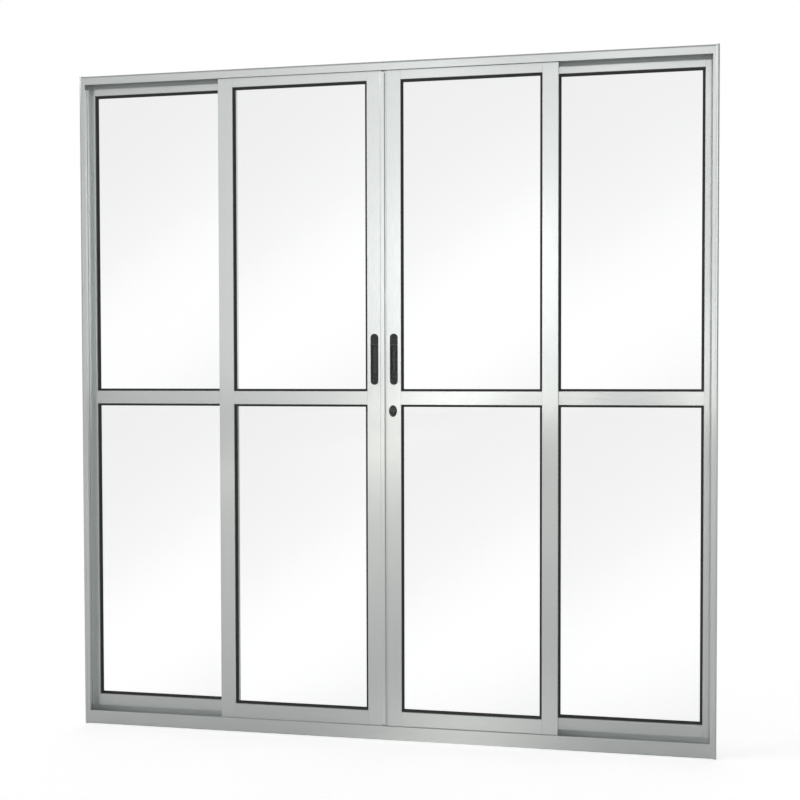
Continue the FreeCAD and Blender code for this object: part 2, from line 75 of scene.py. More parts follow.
# %% [markdown]
# ## Helpers for node trees
#
# A material is a graph, and most of a script that builds one is repeated words. Three small helpers keep the
# recipes readable: one adds a node and sets its sockets by name, one starts a node group with named sockets, and
# one starts a material.

# %% Helpers for node trees
def add(tree, kind, sockets=None, **settings):
    """Adds a node, sets its own settings, then sets or links its inputs by name or number."""
    made = tree.nodes.new(kind)
    for name, value in settings.items():
        setattr(made, name, value)
    for name, value in (sockets or {}).items():
        if isinstance(value, bpy.types.NodeSocket):
            tree.links.new(value, made.inputs[name])
        else:
            made.inputs[name].default_value = value
    return made


def new_group(name, inputs, outputs):
    """Starts a shader node group and returns its tree with its input and output nodes."""
    tree = bpy.data.node_groups.new(name, "ShaderNodeTree")
    for label, kind in inputs:
        tree.interface.new_socket(label, in_out="INPUT", socket_type=kind)
    for label, kind in outputs:
        tree.interface.new_socket(label, in_out="OUTPUT", socket_type=kind)
    return tree, tree.nodes.new("NodeGroupInput"), tree.nodes.new("NodeGroupOutput")


def new_material(name):
    """Starts a material and returns it with its tree and its Principled shader."""
    made = bpy.data.materials.new(name)
    made.use_nodes = True
    return made, made.node_tree, made.node_tree.nodes["Principled BSDF"]

# %% [markdown]
# ## Die lines
#
# Aluminium bars are pressed through a steel die, which leaves very fine lines along their length. They are too fine
# to see one by one, but they smear every reflection sideways across the bar. A rougher shader would blur both ways
# alike, so the group tilts the normal from line to line instead: the pattern changes only across the bar, and the
# tilt is about the bar's own length. The same lines give a slow streak, which later varies the polish.

# %% Node group for die lines
# Share of the length that the pattern leaves out, so that a line is 500 times as long as it is wide
LENGTH_LEFT_OUT = 0.998
NOISE_MIDDLE = 0.5
STREAK_SCALE = 90.0


def number_math(tree, operation, first, second=0.0, third=0.0):
    """One step of arithmetic."""
    return add(tree, "ShaderNodeMath", {0: first, 1: second, 2: third}, operation=operation).outputs["Value"]


def vector_math(tree, operation, first, second=None):
    """One step of vector arithmetic."""
    sockets = {0: first}
    if second is not None:
        sockets["Scale" if operation == "SCALE" else 1] = second
    made = add(tree, "ShaderNodeVectorMath", sockets, operation=operation)
    return made.outputs["Value"] if operation == "DOT_PRODUCT" else made.outputs["Vector"]


def noise(tree, place, scale, detail):
    """Soft random pattern from 0 to 1."""
    return add(tree, "ShaderNodeTexNoise", {"Vector": place, "Scale": scale, "Detail": detail}).outputs["Fac"]


lines, line_in, line_out = new_group(
    "die_lines",
    [("Coordinates", "NodeSocketVector"), ("Normal", "NodeSocketVector"), ("Run", "NodeSocketVector"),
     ("Fineness", "NodeSocketFloat"), ("Tilt", "NodeSocketFloat")],
    [("Normal", "NodeSocketVector"), ("Streak", "NodeSocketFloat")],
)
place, facing, run = (line_in.outputs[name] for name in ("Coordinates", "Normal", "Run"))
along = number_math(lines, "MULTIPLY", vector_math(lines, "DOT_PRODUCT", place, run), LENGTH_LEFT_OUT)
across = vector_math(lines, "SUBTRACT", place, vector_math(lines, "SCALE", run, along))
centred = number_math(lines, "SUBTRACT", noise(lines, across, line_in.outputs["Fineness"], 1.0), NOISE_MIDDLE)
lean = number_math(lines, "MULTIPLY", centred, line_in.outputs["Tilt"])
sideways = vector_math(lines, "CROSS_PRODUCT", run, facing)
leaning = vector_math(lines, "ADD", facing, vector_math(lines, "SCALE", sideways, lean))
lines.links.new(vector_math(lines, "NORMALIZE", leaning), line_out.inputs["Normal"])
lines.links.new(noise(lines, across, STREAK_SCALE, 3.0), line_out.inputs["Streak"])
print("group:", lines.name, "with", len(lines.nodes), "nodes")

# %% [markdown]
# ## Natural anodised aluminium
#
# Anodising grows a clear, slightly milky skin on the metal: most of the light is mirrored by the metal, and a share
# is scattered in the skin, which keeps deep recesses from going black. A Metallic value below one gives that mix.
# Uprights and level bars get the same recipe with a different run, and that alone makes their joints show, as on
# the real door. The polish follows the streaks a little, and a faint cloudiness keeps long bars from looking like
# one flat tone.

# %% Aluminium for uprights and for level bars
ALUMINIUM = (0.843, 0.868, 0.863, 1.0)
ALUMINIUM_SHADE = (0.812, 0.842, 0.835, 1.0)
MIRROR_SHARE = 0.54
BAR_POLISH = (0.08, 0.13)
LINE_FINENESS = 9000.0
CLOUD_SCALE = 5.0
UPRIGHT_TILT, LEVEL_TILT = 0.22, 0.10


def coordinates(tree, kind):
    """Texture coordinates of one kind."""
    return add(tree, "ShaderNodeTexCoord").outputs[kind]


def ease(tree, value, ends, results=(0.0, 1.0), curve="LINEAR"):
    """Runs from one result to the other while a value runs from end to end."""
    sockets = {"Value": value, "From Min": ends[0], "From Max": ends[1], "To Min": results[0], "To Max": results[1]}
    return add(tree, "ShaderNodeMapRange", sockets, interpolation_type=curve).outputs["Result"]


def blend(tree, factor, first, second):
    """Mix of two colours."""
    sockets = {"Factor": factor, "A": first, "B": second}
    return add(tree, "ShaderNodeMix", sockets, data_type="RGBA").outputs["Result"]


def anodised(name, run, tilt):
    """Satin anodised aluminium whose die lines follow the bar's run."""
    made, tree, shader = new_material(name)
    place = coordinates(tree, "Object")
    sockets = {"Coordinates": place, "Normal": add(tree, "ShaderNodeNewGeometry").outputs["Normal"], "Run": run,
               "Fineness": LINE_FINENESS, "Tilt": tilt}
    die = add(tree, "ShaderNodeGroup", sockets, node_tree=lines).outputs
    cloud = noise(tree, place, CLOUD_SCALE, 2.0)
    tree.links.new(blend(tree, cloud, ALUMINIUM, ALUMINIUM_SHADE), shader.inputs["Base Color"])
    tree.links.new(ease(tree, die["Streak"], (0.0, 1.0), BAR_POLISH), shader.inputs["Roughness"])
    tree.links.new(die["Normal"], shader.inputs["Normal"])
    shader.inputs["Metallic"].default_value = MIRROR_SHARE
    return made


upright_metal = anodised("anodised_upright", (0.0, 0.0, 1.0), UPRIGHT_TILT)
level_metal = anodised("anodised_level", (1.0, 0.0, 0.0), LEVEL_TILT)
print("finishes:", upright_metal.name, level_metal.name)

# %% [markdown]
# ## Dress the bars
#
# A bar's name ends in what it is, so the ending tells whether it stands or lies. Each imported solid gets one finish
# in place of its plain one, and its mesh stays as it is.

# %% Dress the bars
LEVEL_BARS = ("head", "sill", "rail")
UPRIGHT_BARS = ("jamb", "stile", "astragal", "rebate")


def dress(name, material):
    """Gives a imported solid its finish."""
    mesh = nodes[name].data
    mesh.materials.clear()
    mesh.materials.append(material)


bars = [name for name in nodes if name.endswith(LEVEL_BARS + UPRIGHT_BARS)]
for name in bars:
    dress(name, level_metal if name.endswith(LEVEL_BARS) else upright_metal)
print("bars:", len(bars), "of them level:", sum(name.endswith(LEVEL_BARS) for name in bars))

# %% [markdown]
# ## Helpers for new pieces
#
# A new piece is drawn in a bmesh at its true place, then handed over as an object at the origin that rides on the
# body which carries it. Shapes shade smooth, and an angle limit keeps their real edges crisp.

# %% Helpers for new pieces
SHARP_ANGLE = math.radians(40.0)


def new_object(bm, name, material):
    """Turns a finished bmesh into an object at the origin."""
    mesh = bpy.data.meshes.new(name)
    bm.to_mesh(mesh)
    bm.free()
    mesh.materials.append(material)
    made = bpy.data.objects.new(name, mesh)
    bpy.context.scene.collection.objects.link(made)
    return made


def finish_piece(bm, name, body, material, stands_for=()):
    """Turns a finished bmesh into a piece of the door."""
    piece = new_object(bm, name, material)
    piece.data.shade_smooth()
    piece.data.set_sharp_from_angle(angle=SHARP_ANGLE)
    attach(piece, body)
    if stands_for:
        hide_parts(*stands_for)
    return piece


def body_of(name):
    """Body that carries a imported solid."""
    return nodes[name]["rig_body"]


def levels(name, axis):
    """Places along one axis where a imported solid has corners, in order."""
    return sorted({round(corner.co[axis], 5) for corner in nodes[name].data.vertices})

# %% [markdown]
# ## Clear glass
#
# Every sheet shades from a light grey at its upper left to clear at its lower right, along the same slant. This is a
# painted reflection: a sheen drawn on the sheet's own map into the colour of the glass, so it follows the sheet and
# not the room.
# Light passes through glass, so shadow rays see it as clear. The index is set lower than that of real glass, because
# the sheets in the photo mirror next to nothing.

# %% Finish of clear glass
PAINTED_SHEEN_SLANT = 0.30
PAINTED_SHEEN_REACH = 1.0 + PAINTED_SHEEN_SLANT
# Place along the slant and the level of the painted sheen there
PAINTED_SHEEN_STOPS = ((0.0, 0.855), (0.35, 0.880), (0.60, 0.930), (0.72, 0.975), (0.85, 1.0), (1.08, 1.0),
               (1.28, 0.920))
GLASS_TINT = (0.995, 1.0, 0.998)
GLASS_INDEX = 1.25
SHADOW_TINT = (0.95, 0.965, 0.96, 1.0)


def parts_of(tree, vector):
    """The three parts of a vector."""
    return add(tree, "ShaderNodeSeparateXYZ", {0: vector}).outputs


clear_glass, glass_tree, glass_shader = new_material("clear_glass")
sheet_map = parts_of(glass_tree, coordinates(glass_tree, "UV"))
slant = number_math(glass_tree, "MULTIPLY_ADD", sheet_map["X"], PAINTED_SHEEN_SLANT, sheet_map["Y"])
painted_sheen = add(glass_tree, "ShaderNodeValToRGB", {"Fac": number_math(glass_tree, "DIVIDE", slant, PAINTED_SHEEN_REACH)})
ramp = painted_sheen.color_ramp
ramp.interpolation = "B_SPLINE"
ramp.elements.remove(ramp.elements[1])
for index, (place, level) in enumerate(PAINTED_SHEEN_STOPS):
    stop = place / PAINTED_SHEEN_REACH
    element = ramp.elements[0] if index == 0 else ramp.elements.new(stop)
    element.position = stop
    element.color = [level * tint for tint in GLASS_TINT] + [1.0]
# The ramp is a painted sheen: a reflection drawn into the colour of the glass
glass_tree.links.new(painted_sheen.outputs["Color"], glass_shader.inputs["Base Color"])
glass_shader.inputs["Roughness"].default_value = 0.0
glass_shader.inputs["IOR"].default_value = GLASS_INDEX
glass_shader.inputs["Transmission Weight"].default_value = 1.0
see_through = add(glass_tree, "ShaderNodeBsdfTransparent", {"Color": SHADOW_TINT})
rays = add(glass_tree, "ShaderNodeLightPath").outputs
either = number_math(glass_tree, "MAXIMUM", rays["Is Shadow Ray"], rays["Is Diffuse Ray"])
passing = add(glass_tree, "ShaderNodeMixShader", {"Fac": either, 1: glass_shader.outputs["BSDF"],
                                                  2: see_through.outputs["BSDF"]})
glass_tree.links.new(passing.outputs["Shader"], glass_tree.nodes["Material Output"].inputs["Surface"])
print("sheen stops:", len(ramp.elements))

# %% [markdown]
# ## Sheets of glass
#
# Each leaf holds two sheets of 4 mm clear float glass. A sheet is a thin block whose sharp edges are ground off, and
# a real block lets light bend and reflect on both faces. Its map runs across and down the sheet, for the painted
# sheen.

# %% Sheets of glass
LEAVES = ("left_fixed", "left_sliding", "right_sliding", "right_fixed")
ARRIS = 0.5 * MM


def glass_sheet(bm, low, high):
    """Block of glass between two corners, with ground edges."""
    made = bmesh.ops.create_cube(bm, size=1.0)["verts"]
    bmesh.ops.scale(bm, vec=high - low, verts=made)
    bmesh.ops.translate(bm, vec=(low + high) / 2, verts=made)
    edges = list({edge for vert in made for edge in vert.link_edges})
    bmesh.ops.bevel(bm, geom=edges, offset=ARRIS, affect="EDGES", segments=1, profile=0.5, material=-1)


def map_sheet(bm, low, high):
    """Map of a sheet: across from 0 to 1 and down from 0 to 1."""
    chart = bm.loops.layers.uv.verify()
    for face in bm.faces:
        middle = face.calc_center_median()
        if low.z <= middle.z <= high.z:
            for loop in face.loops:
                loop[chart].uv = ((loop.vert.co.x - low.x) / (high.x - low.x),
                                  (high.z - loop.vert.co.z) / (high.z - low.z))


for leaf in LEAVES:
    node = leaf + "_panes"
    low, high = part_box(node)
    z = levels(node, 2)
    bm = bmesh.new()
    sheets = [(Vector((low.x, low.y, z0)), Vector((high.x, high.y, z1)))
              for z0, z1 in ((z[0], z[1]), (z[2], z[3]))]
    for corners in sheets:
        glass_sheet(bm, *corners)
    for corners in sheets:
        map_sheet(bm, *corners)
    finish_piece(bm, leaf + "_glass", body_of(node), clear_glass, (node,))
    print(leaf, "sheets:", [[round(v, 3) for v in top - bottom] for bottom, top in sheets])

# %% [markdown]
# ## Grain of moulded pieces
#
# Rubber and plastic leave their mould with a fine, even grain and a slightly mottled gloss. One group serves them
# all, with its own grain size in each.

# %% Node group for moulded grain
MOTTLE_SCALE = 35.0
MOULDED_BUMP = 0.35
grain, grain_in, grain_out = new_group(
    "moulded_grain",
    [("Coordinates", "NodeSocketVector"), ("Grain", "NodeSocketFloat")],
    [("Height", "NodeSocketFloat"), ("Mottle", "NodeSocketFloat")],
)
place = grain_in.outputs["Coordinates"]
grain.links.new(noise(grain, place, grain_in.outputs["Grain"], 3.0), grain_out.inputs["Height"])
grain.links.new(noise(grain, place, MOTTLE_SCALE, 2.0), grain_out.inputs["Mottle"])


def moulded(name, colour, pale, grain_size, depth, polish, strength=MOULDED_BUMP):
    """Mottled colour, a fine grain and a gloss between two values."""
    made, tree, shader = new_material(name)
    sockets = {"Coordinates": coordinates(tree, "Object"), "Grain": grain_size}
    skin = add(tree, "ShaderNodeGroup", sockets, node_tree=grain).outputs
    bump = add(tree, "ShaderNodeBump", {"Height": skin["Height"], "Strength": strength, "Distance": depth})
    tree.links.new(blend(tree, skin["Mottle"], colour, pale), shader.inputs["Base Color"])
    tree.links.new(ease(tree, skin["Mottle"], (0.0, 1.0), polish), shader.inputs["Roughness"])
    tree.links.new(bump.outputs["Normal"], shader.inputs["Normal"])
    return made


print("group:", grain.name, "with", len(grain.nodes), "nodes")

# %% [markdown]
# ## Glazing gaskets
#
# A black rubber wedge runs round each sheet, once in front and once behind, pressed into the groove of the bars. Its
# corners are mitred. A flat frame is drawn by insetting a rectangle; pulling it towards the glass gives the wedge
# its depth, the inner edge is pushed back to form the slope, and a bevel rounds the lip.

# %% Glazing gaskets
rubber = moulded("glazing_rubber", (0.022, 0.023, 0.022, 1.0), (0.034, 0.035, 0.034, 1.0), 1500.0, 0.05 * MM,
                 (0.5, 0.68))
LIP_SLOPE = 1.1 * MM
LIP_ROUND = 0.7 * MM


def rubber_wedge(bm, low, high, width, face, glass):
    """Mitred rubber frame between two corners, from the face plane back to the glass plane."""
    outline = ((low.x, low.z), (high.x, low.z), (high.x, high.z), (low.x, high.z))
    sheet = bm.faces.new([bm.verts.new((x, face, z)) for x, z in outline])
    sheet.normal_update()
    ring = bmesh.ops.inset_region(bm, faces=[sheet], thickness=width, use_even_offset=True,
                                  use_boundary=True)["faces"]
    inner = set(sheet.verts)
    bmesh.ops.delete(bm, geom=[sheet], context="FACES_ONLY")
    pulled = bmesh.ops.extrude_face_region(bm, geom=ring)["geom"]
    back = [item for item in pulled if isinstance(item, bmesh.types.BMVert)]
    bmesh.ops.translate(bm, vec=(0.0, glass - face, 0.0), verts=back)
    slope = math.copysign(LIP_SLOPE, glass - face)
    bmesh.ops.translate(bm, vec=(0.0, slope, 0.0), verts=list(inner))
    lip = {edge for vert in inner for edge in vert.link_edges if edge.other_vert(vert) in inner}
    bmesh.ops.bevel(bm, geom=list(lip), offset=LIP_ROUND, affect="EDGES", segments=3, profile=0.5, material=-1)


for leaf in LEAVES:
    node = leaf + "_gaskets"
    low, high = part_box(node)
    glass_low, glass_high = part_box(leaf + "_panes")
    x = levels(node, 0)
    z = levels(node, 2)
    width = x[2] - x[0]
    bm = bmesh.new()
    half = len(z) // 2
    for z0, z1 in ((z[0], z[half - 1]), (z[half], z[-1])):
        corners = (Vector((low.x, 0.0, z0)), Vector((high.x, 0.0, z1)))
        rubber_wedge(bm, *corners, width, low.y, glass_low.y)
        rubber_wedge(bm, *corners, width, high.y, glass_high.y)
    bmesh.ops.recalc_face_normals(bm, faces=bm.faces)
    finish_piece(bm, leaf + "_rubber", body_of(node), rubber, (node,))
    print(leaf, "gasket width:", round(width / MM, 2), "mm, levels:", len(x), len(z))

# %% [markdown]
# ## Black pulls
#
# The flush pulls are satin black mouldings. Their troughs are painted a shade greyer with depth behind the plate's
# face, as painted light against the shade of the recess, and the bevel at a trough's upper edge carries a painted
# highlight.

# %% Finish of the black pulls
TROUGH_START = 1.8 * MM
TROUGH_END = 3.1 * MM
TROUGH_PAINTED_LIGHT = (0.130, 0.140, 0.132, 1.0)
EDGE_DROP = 35.0 * MM
EDGE_HALF = 1.3 * MM
SLOPE_HALF = 0.95 * EDGE_HALF
EDGE_HIGHLIGHT_COLOUR = (0.30, 0.32, 0.31, 1.0)


def band(tree, value, middle, half):
    """One within a half width of the middle, otherwise zero."""
    return number_math(tree, "COMPARE", value, middle, half)


black_pull = moulded("black_pull", (0.032, 0.036, 0.033, 1.0), (0.044, 0.049, 0.045, 1.0), 2200.0, 0.03 * MM,
                     (0.48, 0.62))
pull_low, pull_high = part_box("left_pull")
pull_tree = black_pull.node_tree
pull_colour = pull_tree.nodes["Principled BSDF"].inputs["Base Color"]
pull_place = parts_of(pull_tree, coordinates(pull_tree, "Object"))
# Painted light: the trough turns a shade paler with depth, against the shade in the recess
sunk = ease(pull_tree, pull_place["Y"], (pull_low.y + TROUGH_START, pull_low.y + TROUGH_END))
# Painted highlight along the bevel at the trough's upper edge
at_edge = band(pull_tree, pull_place["Z"], pull_high.z - EDGE_DROP, EDGE_HALF)
on_slope = band(pull_tree, pull_place["Y"], pull_low.y + EDGE_HALF, SLOPE_HALF)
edge_highlight = number_math(pull_tree, "MULTIPLY", at_edge, on_slope)
lightened_trough = blend(pull_tree, sunk, pull_colour.links[0].from_socket, TROUGH_PAINTED_LIGHT)
pull_tree.links.new(blend(pull_tree, edge_highlight, lightened_trough, EDGE_HIGHLIGHT_COLOUR), pull_colour)
print("pull length:", round((pull_high.z - pull_low.z) / MM, 1), "mm")

# %% [markdown]
# ## Lock, rollers and blocks
#
# The lock is dark painted zinc with a plated barrel. The rollers and the setting blocks are nylon, in zinc plated
# forks; they hide under the leaves and show only from below. Plated metal has the same mottle and grain as a
# moulding, only finer and all metal.

# %% Finishes of the small solids
PLATED_SHADE = 0.85
PLATED_GRAIN = 700.0
PLATED_DEPTH = 0.02 * MM
PLATED_BUMP = 0.2


def plated(name, colour, polish):
    """Plated metal with a slightly uneven polish."""
    shade = tuple(PLATED_SHADE * part for part in colour[:3]) + (1.0,)
    made = moulded(name, colour, shade, PLATED_GRAIN, PLATED_DEPTH, polish, PLATED_BUMP)
    made.node_tree.nodes["Principled BSDF"].inputs["Metallic"].default_value = 1.0
    return made


dark_lock = moulded("dark_lock", (0.042, 0.046, 0.043, 1.0), (0.056, 0.060, 0.057, 1.0), 1800.0, 0.02 * MM,
                    (0.22, 0.32))
nylon = moulded("nylon", (0.045, 0.045, 0.045, 1.0), (0.065, 0.065, 0.064, 1.0), 900.0, 0.03 * MM, (0.42, 0.55))
barrel_metal = plated("lock_barrel_steel", (0.150, 0.155, 0.150, 1.0), (0.14, 0.22))
screw_metal = plated("screw_black", (0.07, 0.073, 0.07, 1.0), (0.30, 0.42))
fork_metal = plated("zinc_housing", (0.55, 0.56, 0.57, 1.0), (0.3, 0.45))
SMALL_SOLIDS = (("pull", black_pull), ("lock_rose", dark_lock), ("lock_barrel", barrel_metal),
                ("roller_wheels", nylon), ("setting_blocks", nylon), ("roller_housings", fork_metal))
for ending, material in SMALL_SOLIDS:
    matching = [name for name in nodes if name.endswith(ending)]
    for name in matching:
        dress(name, material)
    print(ending, "dressed:", len(matching))

# %% [markdown]
# ## Screws of the pulls
#
# A screw at each end holds a pull. Its head is a low dome with a cross recess. Rings of points are drawn from the
# shank outwards and over the dome, and bridged one to the next; the last rings are crosses, so the same bridging
# also forms the recess.

# %% Screws of the pulls
SCREW_MARGIN = 9.5 * MM
SCREW_RINGS = 28
# Radius and rise of each ring of the head, from the shank to the dome
SCREW_PROFILE = ((1.9, -1.2), (1.9, 0.0), (3.3, 0.0), (3.3, 0.25), (2.9, 0.70), (2.3, 0.95))
# Arm, half width and rise of each cross, from the rim of the recess to its floor
SCREW_CROSSES = ((1.55, 0.34, 1.05), (1.0, 0.26, 0.15))


def loop_of(bm, spots):
    """Closed loop of edges through a list of points."""
    verts = [bm.verts.new(spot) for spot in spots]
    return [bm.edges.new((verts[index - 1], verts[index])) for index in range(len(verts))]


def round_ring(bm, centre, across, along, rise, count):
    """Ring of points on an ellipse in front of the door, standing out by a rise."""
    turns = [2.0 * math.pi * index / count for index in range(count)]
    return loop_of(bm, [(centre.x + across * math.sin(turn), centre.y - rise, centre.z + along * math.cos(turn))
                        for turn in turns])


def cross_ring(bm, centre, arm, half, rise):
    """Ring of twelve points round a cross."""
    quarter = ((half, half), (half, arm), (-half, arm))
    spots = []
    for step in range(4):
        turn = Matrix.Rotation(math.radians(90.0 * step), 2)
        spots += [turn @ Vector(spot) for spot in quarter]
    return loop_of(bm, [(centre.x + x, centre.y - rise, centre.z + z) for x, z in spots])


def bridge(bm, rings):
    """Skins a row of rings, one to the next."""
    for first, second in zip(rings, rings[1:]):
        bmesh.ops.bridge_loops(bm, edges=first + second)


def cap(bm, ring):
    """Closes a ring with one face."""
    bmesh.ops.edgeloop_fill(bm, edges=ring)


def screw(bm, centre):
    """Domed screw head with a cross recess and a short shank behind it."""
    rings = [round_ring(bm, centre, radius * MM, radius * MM, rise * MM, SCREW_RINGS)
             for radius, rise in SCREW_PROFILE]
    rings += [cross_ring(bm, centre, arm * MM, half * MM, rise * MM) for arm, half, rise in SCREW_CROSSES]
    bridge(bm, rings)
    cap(bm, rings[0])
    cap(bm, rings[-1])


for side in ("left", "right"):
    pull = side + "_pull"
    low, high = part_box(pull)
    bm = bmesh.new()
    for height in (low.z + SCREW_MARGIN, high.z - SCREW_MARGIN):
        screw(bm, Vector(((low.x + high.x) / 2, low.y, height)))
    bmesh.ops.recalc_face_normals(bm, faces=bm.faces)
    piece = finish_piece(bm, pull + "_screws", body_of(pull), screw_metal)
    print(piece.name, "faces:", len(piece.data.polygons))

# %% [markdown]
# ## Lock cover
#
# The cover of the lock is a small oval dome of dark painted zinc with a round hole for the plug that takes the key.
# It is skinned over a row of rings too: ellipses that shrink as they rise, then circles that turn down into the
# hole.

# %% Lock cover
HOLE_RADIUS = 6.2 * MM
COVER_RINGS = 64
# Share of the cover's half width, of its half length and of its rise
COVER_PROFILE = ((1.0, 1.0, 0.0), (1.0, 1.0, 0.16), (0.97, 0.97, 0.32), (0.91, 0.91, 0.48), (0.82, 0.82, 0.64),
                 (0.71, 0.70, 0.78), (0.62, 0.58, 0.89), (0.56, 0.47, 0.96))
# Share of the hole's radius and of the cover's rise
HOLE_PROFILE = ((1.06, 1.0), (1.0, 0.94), (1.0, 0.0))
low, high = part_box("lock_rose")
middle = (low + high) / 2
seat = Vector((middle.x, high.y, middle.z))
reach = Vector(((high.x - low.x) / 2, high.y - low.y, (high.z - low.z) / 2))
bm = bmesh.new()
hole = [round_ring(bm, seat, HOLE_RADIUS * grow, HOLE_RADIUS * grow, reach.y * rise, COVER_RINGS)
        for grow, rise in HOLE_PROFILE]
dome = [round_ring(bm, seat, reach.x * across, reach.z * along, reach.y * rise, COVER_RINGS)
        for across, along, rise in COVER_PROFILE]
bridge(bm, dome + hole + dome[:1])
bmesh.ops.recalc_face_normals(bm, faces=bm.faces)
cover = finish_piece(bm, "lock_cover", body_of("lock_rose"), dark_lock, ("lock_rose",))
print("lock cover faces:", len(cover.data.polygons), "rise:", round(reach.y / MM, 2), "mm")

# %% [markdown]
# ## Lock plug
#
# The plug is a low dome of dark plated steel, so that it catches one small highlight, with the slot of the key sunk
# into it. A flat plug would mirror one direction only and stay dark.

# %% Lock plug
PLUG_CURVE = 10.0 * MM
PLUG_RINGS = 40
PLUG_SHARES = (1.0, 0.92, 0.84, 0.76, 0.68)
KEY_HALF_WIDTH = 0.9 * MM
KEY_HALF_LENGTH = 3.75 * MM
KEY_DEPTH = 5.0 * MM


def slot_ring(bm, centre, across, along, rise):
    """Ring of four points round an upright slot."""
    corners = ((across, along), (across, -along), (-across, -along), (-across, along))
    return loop_of(bm, [(centre.x + x, centre.y - rise, centre.z + z) for x, z in corners])


def sag(radius):
    """Fall of the plug's dome below its crown."""
    return math.sqrt(PLUG_CURVE ** 2 - radius ** 2) - PLUG_CURVE


plug_low, plug_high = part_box("lock_barrel")
plug_radius = (plug_high.x - plug_low.x) / 2
crown = Vector((middle.x, plug_low.y, middle.z))
bm = bmesh.new()
shank = round_ring(bm, crown, plug_radius, plug_radius, plug_low.y - plug_high.y, PLUG_RINGS)
rings = [round_ring(bm, crown, radius, radius, sag(radius), PLUG_RINGS)
         for radius in (plug_radius * share for share in PLUG_SHARES)]
slot_rim = slot_ring(bm, crown, KEY_HALF_WIDTH, KEY_HALF_LENGTH, sag(KEY_HALF_LENGTH))
slot_floor = slot_ring(bm, crown, KEY_HALF_WIDTH, KEY_HALF_LENGTH, -KEY_DEPTH)
bridge(bm, [shank] + rings + [slot_rim, slot_floor])
cap(bm, shank)
cap(bm, slot_floor)
bmesh.ops.recalc_face_normals(bm, faces=bm.faces)
plug = finish_piece(bm, "lock_plug", body_of("lock_barrel"), barrel_metal, ("lock_barrel",))
print("plug faces:", len(plug.data.polygons), "dome:", round(-sag(plug_radius) / MM, 2), "mm")

# %% [markdown]
# ## Light of the floor
#
# The door stands on a plain pale floor. Rays that show the floor to the camera, straight or through the glass, get
# as much light added as turns its grey into white, and the door's shadow stays. Rays that metal mirrors get a
# slightly warm share that grows with the distance from the door: a bar mirrors the near floor at its foot and the
# far floor half way up, and every bar in the photo brightens that way. To the left it grows less. Pools of light are
# added. The sill and the bottom rails mirror the nearest, the meeting stiles the next four, and the middle rails
# those near the horizon. The last one, far to the right, lights the inner side of the left jamb.

# %% Light of the floor
FLOOR_GREY = (0.78, 0.78, 0.78, 1.0)
FLOOR_LIFT = 0.625
MIRRORED_LIFT = 0.70
MIRRORED_TINT = (1.0, 0.99, 0.92, 1.0)
WHITE = (1.0, 1.0, 1.0, 1.0)
NEAR_TO_FAR = (-0.25, -8.0)
FAR_SHARE = 0.33
FAR_CURVE = 0.45
DIMMING_LEFT = (-2.0, -10.0)
DIM_LEAST = 0.1
POOLS = (
    # middle across, middle along, half width, half length, share
    (0.22, 0.0, 0.30, 0.8, 0.68),
    (-0.6, -4.5, 0.8, 3.0, 0.26),
    (-1.4, -7.0, 0.6, 2.5, 0.42),
    (-1.9, -9.5, 0.55, 2.2, 0.65),
    (-2.9, -15.0, 1.0, 5.5, 1.85),
    (-6.5, -45.0, 9.0, 16.0, 0.85),
    (-5.3, -42.0, 1.8, 14.0, 4.50),
    (-1.0, -42.0, 0.7, 14.0, 3.00),
    (3.3, -42.0, 1.2, 14.0, 2.50),
    (16.0, -36.0, 9.0, 16.0, 0.90),
)


def soft_spot(tree, first, second, middle_1, middle_2, half_1, half_2):
    """Bell curve over two values: one in the middle, fading over a half size each way."""
    off_1 = number_math(tree, "DIVIDE", number_math(tree, "SUBTRACT", first, middle_1), half_1)
    off_2 = number_math(tree, "DIVIDE", number_math(tree, "SUBTRACT", second, middle_2), half_2)
    spread = number_math(tree, "MULTIPLY_ADD", off_1, off_1, number_math(tree, "MULTIPLY", off_2, off_2))
    return number_math(tree, "EXPONENT", number_math(tree, "MULTIPLY", spread, -1.0))


def seen_straight(tree, rays):
    """One for rays of the camera, straight or through glass, otherwise zero."""
    return number_math(tree, "MAXIMUM", rays["Is Camera Ray"], rays["Is Transmission Ray"])


floor_paint, floor_tree, floor_shader = new_material("studio_floor")
floor_shader.inputs["Base Color"].default_value = FLOOR_GREY
floor_shader.inputs["Roughness"].default_value = 1.0
floor_shader.inputs["Specular IOR Level"].default_value = 0.0
floor_rays = add(floor_tree, "ShaderNodeLightPath").outputs
floor_place = parts_of(floor_tree, coordinates(floor_tree, "Object"))
reach_out = ease(floor_tree, floor_place["Y"], NEAR_TO_FAR)
dimmed = ease(floor_tree, floor_place["X"], DIMMING_LEFT, (FAR_SHARE, FAR_SHARE * DIM_LEAST))
share = number_math(floor_tree, "MULTIPLY", number_math(floor_tree, "POWER", reach_out, FAR_CURVE), dimmed)
for *place_and_size, pool_share in POOLS:
    pool = soft_spot(floor_tree, floor_place["X"], floor_place["Y"], *place_and_size)
    share = number_math(floor_tree, "MULTIPLY_ADD", pool, pool_share, share)
share = number_math(floor_tree, "MULTIPLY", share, MIRRORED_LIFT)
mirrored = number_math(floor_tree, "MULTIPLY", floor_rays["Is Glossy Ray"], share)
straight = seen_straight(floor_tree, floor_rays)
shown = number_math(floor_tree, "MULTIPLY", straight, FLOOR_LIFT)
lift = number_math(floor_tree, "MAXIMUM", shown, mirrored)
tint = blend(floor_tree, straight, MIRRORED_TINT, WHITE)
floor_tree.links.new(tint, floor_shader.inputs["Emission Color"])
floor_tree.links.new(lift, floor_shader.inputs["Emission Strength"])
print("pools of light:", len(POOLS))

# %% [markdown]
# ## Floor
#
# One large square is enough, since its light is in its material. It lies a hair under the sill, so that the two
# faces don't flicker, and it rides on no body of the door.

